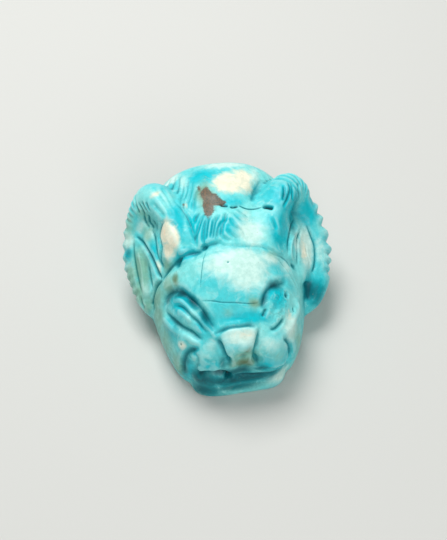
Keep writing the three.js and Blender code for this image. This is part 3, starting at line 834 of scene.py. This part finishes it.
# Dark patches under the lips, along the jaw, in the brow and beside the right horn: partly the stone's own
# tone, partly painted shade.
tint(
    "deep_tone_and_shade",
    [
        ((0, -14.3, 3.0), (7.5, 1.8, 1.3), 1),
        ((-4.6, -13.6, 3.0), (3.2, 1.8, 1.6), 1),
        ((-1.5, -13.8, 4.4), (3.6, 1.0, 0.9), 0.9),
        ((2.4, -14.0, 5.0), (1.4, 1.2, 0.9), 0.8),
        ((10.8, -3.3, 5.0), (1.8, 1.9, 2.2), 0.8),
        ((9.2, 5.4, 12.2), (1.2, 1.2, 1.6), 0.6),
        ((7.8, 5.2, 14.6), (0.9, 1.2, 1.2), 0.5),
        ((-6.9, -12.2, 3.0), (1.0, 1.2, 2.4), 0.6),
        ((-7.6, -5.0, 8.9), (1.8, 0.9, 1.4), 0.9),
        ((-6.6, -5.5, 10.0), (1.4, 0.8, 1.0), 0.8),
        ((-5.2, -7.0, 10.2), (0.8, 1.7, 1.2), 0.8),
        ((-4.0, -9.4, 10.3), (0.7, 1.6, 1.0), 0.7),
        ((-7.4, -8.6, 8.3), (1.0, 2.2, 1.0), 0.5),
        ((-4.8, -14.0, 1.3), (3.4, 1.6, 1.6), 0.9),
        ((-0.6, -14.3, 1.7), (4.6, 1.4, 1.0), 0.8),
        ((-6.8, -12.4, 5.2), (0.8, 1.0, 1.6), 0.6),
        ((0.3, -14.2, 6.0), (1.4, 1.0, 0.7), 0.4),
        ((-9.4, -3.6, 6.4), (1.5, 2.2, 3.0), 0.32),
        ((5.2, -6.2, 11.0), (1.9, 0.8, 1.2), 0.7),
        ((3.3, -8.4, 11.0), (0.8, 1.4, 1.0), 0.6),
        ((8.6, 2.8, 11.6), (0.8, 2.6, 1.6), 0.6),
        ((-12.5, 3.9, 7.4), (0.7, 0.9, 1), 0.6),
        ((-2.4, -13.6, 6.2), (0.7, 1.0, 1.4), 0.7),
    ],
)
tint(
    "brown",
    [
        ((0.9, -13.8, 8.2), (0.9, 0.7, 0.9), 0.75),
        ((0.2, -14.2, 6.2), (1.4, 1.0, 0.9), 0.9),
        ((-7.0, -3.6, 10.6), (0.6, 0.9, 0.8), 0.65),
        ((2.2, -8.8, 11.3), (0.8, 0.6, 0.8), 0.6),
        ((-2.4, 6.8, 14.8), (1.0, 1.8, 2), 0.6),
        ((-2.0, 4.2, 14.6), (0.8, 1.4, 2), 0.5),
        ((-8.2, -2.2, 8.6), (0.8, 0.8, 1.4), 0.5),
        ((-11.0, 2.6, 7.8), (0.5, 1.6, 1.2), 0.35),
        ((-11.6, 0.0, 5.2), (0.5, 1.4, 1.2), 0.35),
    ],
)
tint(
    "rust",
    [
        ((-2.0, 6.3, 14.8), (0.75, 1.2, 2), 0.95),
        ((-2.8, 7.6, 14.8), (0.4, 0.8, 2), 0.65),
        ((-1.4, 5.3, 14.9), (1.2, 0.9, 2), 1.1),
        ((-0.5, 4.7, 14.9), (0.9, 0.45, 2), 1),
        ((-2.0, 4.2, 14.6), (0.7, 1.5, 2), 1.1),
        ((-5.0, 5.4, 14), (0.25, 0.7, 1), 0.55),
    ],
)

polished.transform(Matrix.Scale(MM, 4))
polished.shade_smooth()
head = set_out("ram_head_stone", polished)


def srgb(red, green, blue):
    """A colour in the shader's own light from its everyday values of 0 to 255."""
    shares = [value / 255 for value in (red, green, blue)]
    return [s / 12.92 if s < 0.04 else ((s + 0.055) / 1.055) ** 2.4 for s in shares] + [1]


sky, milky_sky = srgb(76, 208, 214), srgb(130, 226, 224)
strong_sky, faded_sky, rubbed_and_highlit_sky = srgb(10, 186, 202), srgb(196, 240, 234), srgb(206, 246, 240)
blue, deep_teal_and_shade, teal_and_shade = srgb(2, 196, 208), srgb(0, 92, 102), srgb(14, 128, 136)
pale, cream, peach = srgb(206, 242, 233), srgb(242, 237, 213), srgb(246, 222, 190)
olive, moss, sand = srgb(130, 190, 170), srgb(98, 116, 82), srgb(140, 148, 120)
light_rust, dark_rust = srgb(112, 78, 52), srgb(72, 58, 44)
haze, shade, crack_dirt_and_shade = srgb(176, 208, 206), srgb(30, 160, 170), srgb(34, 48, 44)
gloss, pit_strength, pit_depth = 0.22, 0.3, 0.06

turquoise = bpy.data.materials.new("turquoise")
turquoise.use_nodes = True
nodes, links = turquoise.node_tree.nodes, turquoise.node_tree.links
shader = nodes["Principled BSDF"]
shader.inputs["Specular IOR Level"].default_value = gloss
in_stone = nodes.new("ShaderNodeTexCoord").outputs["Object"]


def cloud(scale, detail, rough=0.5, stretch=0.0):
    """Soft natural unevenness: so many blots to the millimetre."""
    texture = nodes.new("ShaderNodeTexNoise")
    texture.inputs["Scale"].default_value = scale / MM
    texture.inputs["Detail"].default_value = detail
    texture.inputs["Roughness"].default_value = rough
    texture.inputs["Distortion"].default_value = stretch
    links.new(in_stone, texture.inputs["Vector"])
    return texture.outputs["Fac"]


def patch(name):
    """One of the stone's own properties."""
    attribute = nodes.new("ShaderNodeAttribute")
    attribute.attribute_name = name
    return attribute.outputs["Fac"]


def put(value, socket):
    """A socket gets a number, a colour or what another node gives."""
    if isinstance(value, (int, float, list)):
        socket.default_value = value
    else:
        links.new(value, socket)


def sum_of(first, second, kind="ADD"):
    """Two values added up, or joined by another kind of arithmetic."""
    node = nodes.new("ShaderNodeMath")
    node.operation = kind
    put(first, node.inputs[0])
    put(second, node.inputs[1])
    return node.outputs[0]


def window(value, low, high, to_low=0.0, to_high=1.0):
    """Runs from to_low to to_high while the value passes from low to high."""
    node = nodes.new("ShaderNodeMapRange")
    node.interpolation_type = "SMOOTHSTEP"
    links.new(value, node.inputs["Value"])
    for name, number in (("From Min", low), ("From Max", high), ("To Min", to_low), ("To Max", to_high)):
        node.inputs[name].default_value = number
    return node.outputs[0]


def over(below, colour, amount, kind="MIX"):
    """A colour laid over another by an amount from 0 to 1."""
    node = nodes.new("ShaderNodeMix")
    node.data_type = "RGBA"
    node.blend_type = kind
    for value, socket in ((amount, node.inputs[0]), (below, node.inputs[6]), (colour, node.inputs[7])):
        put(value, socket)
    return node.outputs[2]


blots, wisps, specks = cloud(0.22, 3, stretch=0.4), cloud(0.7, 5, 0.62, 0.9), cloud(4.5, 3, 0.6)
mottle = sum_of(sum_of(wisps, 0.5, "SUBTRACT"), 0.8, "MULTIPLY")
colour = over(sky, milky_sky, window(blots, 0.4, 0.62))
colour = over(colour, strong_sky, window(wisps, 0.56, 0.7, 0, 0.3))
colour = over(colour, faded_sky, window(wisps, 0.44, 0.3, 0, 0.3))
for name, tone, low, high in (
    ("blue", blue, 0.15, 0.8),
    ("pale", pale, 0.1, 0.75),
    ("olive", olive, 0.05, 0.95),
    # Dark blue-green patches: partly the stone's own tone, partly painted shade under the lips and in
    # grooves.
    ("deep_tone_and_shade", over(deep_teal_and_shade, teal_and_shade, window(wisps, 0.4, 0.65)), 0.15, 0.95),
    ("cream", cream, 0.25, 0.75),
    ("brown", moss, 0.15, 1.0),
):
    colour = over(colour, tone, window(sum_of(patch(name), mottle), low, high))
colour = over(colour, peach, window(sum_of(patch("cream"), mottle), 0.95, 1.2, 0, 0.8))
colour = over(colour, haze, window(cloud(1.5, 5, 0.6), 0.38, 0.62, 0, 0.3), "MULTIPLY")
colour = over(colour, sand, window(specks, 0.66, 0.76, 0, 0.6))
# Grooves and low places are multiplied darker: partly dirt, partly painted shade.
colour = over(colour, shade, window(patch("dirt_and_painted_shade"), 0.1, 0.9, 0, 0.95), "MULTIPLY")
# The deepest cuts and holes go near black: dirt in the cracks, painted shade in the holes.
colour = over(colour, crack_dirt_and_shade, window(patch("dirt_and_painted_shade"), 0.88, 1, 0, 0.8))
# Ridges are lightened toward a pale blue: partly wear, partly a painted highlight.
rubbed_and_highlit = sum_of(patch("worn_and_highlit"), patch("deep_tone_and_shade"), "SUBTRACT")
colour = over(colour, rubbed_and_highlit_sky, window(rubbed_and_highlit, 0.4, 1, 0, 0.25))
rust = over(light_rust, dark_rust, window(specks, 0.4, 0.62))
rusted = sum_of(sum_of(patch("rust"), mottle), sum_of(specks, 0.3, "MULTIPLY"))
colour = over(colour, rust, window(rusted, 0.42, 0.74, 0, 0.9))
links.new(colour, shader.inputs["Base Color"])
links.new(window(wisps, 0.3, 0.7, 0.3, 0.46), shader.inputs["Roughness"])
bump = nodes.new("ShaderNodeBump")
bump.inputs["Strength"].default_value = pit_strength
bump.inputs["Distance"].default_value = pit_depth * MM
links.new(sum_of(wisps, sum_of(specks, 0.5, "MULTIPLY")), bump.inputs["Height"])
links.new(bump.outputs["Normal"], shader.inputs["Normal"])
polished.materials.clear()
polished.materials.append(turquoise)

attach(head, "root")
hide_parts("ram_head")

# The table. A plain pale sheet of matt paper, far wider than the pendant, which lies on it with its flat
# underside. It isn't part of the object.

table_half_width, paper_tone, paper_roughness = 2, srgb(206, 206, 202), 0.8

table = bmesh.new()
bmesh.ops.create_grid(table, x_segments=1, y_segments=1, size=table_half_width)
sheet = bpy.data.meshes.new("table")
table.to_mesh(sheet)
table.free()
floor = set_out("table", sheet)
paper = bpy.data.materials.new("paper")
paper.use_nodes = True
paper_shader = paper.node_tree.nodes["Principled BSDF"]
paper_shader.inputs["Base Color"].default_value = paper_tone
paper_shader.inputs["Roughness"].default_value = paper_roughness
sheet.materials.append(paper)

# The light and the camera. A broad lamp hangs over and behind the crown, a weak one fills from the front,
# and the camera looks down at the chin from a hand's length away. Colours are shown as they are.

room_tone, room_light = (0.95, 0.99, 0.98, 1), 0.3
lamps = (  # place and size in metres, power in watts
    ("window", (-0.04, 0.13, 0.26), 0.16, 0.78),
    ("fill", (0.04, -0.24, 0.2), 0.2, 0.36),
)
camera_turn, camera_height, camera_distance = math.radians(-7), math.radians(52), 170 * MM
camera_lens, camera_film, camera_near = 88.4, 36, 0.01
camera_shift = 0.58  # to its left, in millimetres
aim_height = 7  # of the point that the lamps and the camera look at, in millimetres

world = bpy.data.worlds.new("room")
world.use_nodes = True
world.node_tree.nodes["Background"].inputs["Color"].default_value = room_tone
world.node_tree.nodes["Background"].inputs["Strength"].default_value = room_light
bpy.context.scene.world = world
bpy.context.scene.view_settings.view_transform = "Standard"
aim = Vector((0, 0, aim_height * MM))

for name, place, size, power in lamps:
    light = bpy.data.lights.new(name, "AREA")
    light.size = size
    light.energy = power
    held = set_out(name, light)
    held.location = place
    held.rotation_mode = "QUATERNION"
    held.rotation_quaternion = (aim - Vector(place)).to_track_quat("-Z", "Y")

back = Vector(
    (
        math.sin(camera_turn) * math.cos(camera_height),
        -math.cos(camera_turn) * math.cos(camera_height),
        math.sin(camera_height),
    )
)
left = Vector((-math.cos(camera_turn), -math.sin(camera_turn), 0))
camera = set_out("camera", bpy.data.cameras.new("camera"))
camera.data.lens = camera_lens
camera.data.sensor_width = camera_film
camera.data.clip_start = camera_near
camera.rotation_mode = "QUATERNION"
camera.location = aim + back * camera_distance + left * camera_shift * MM
camera.rotation_quaternion = (-back).to_track_quat("-Z", "Y")
bpy.context.scene.camera = camera
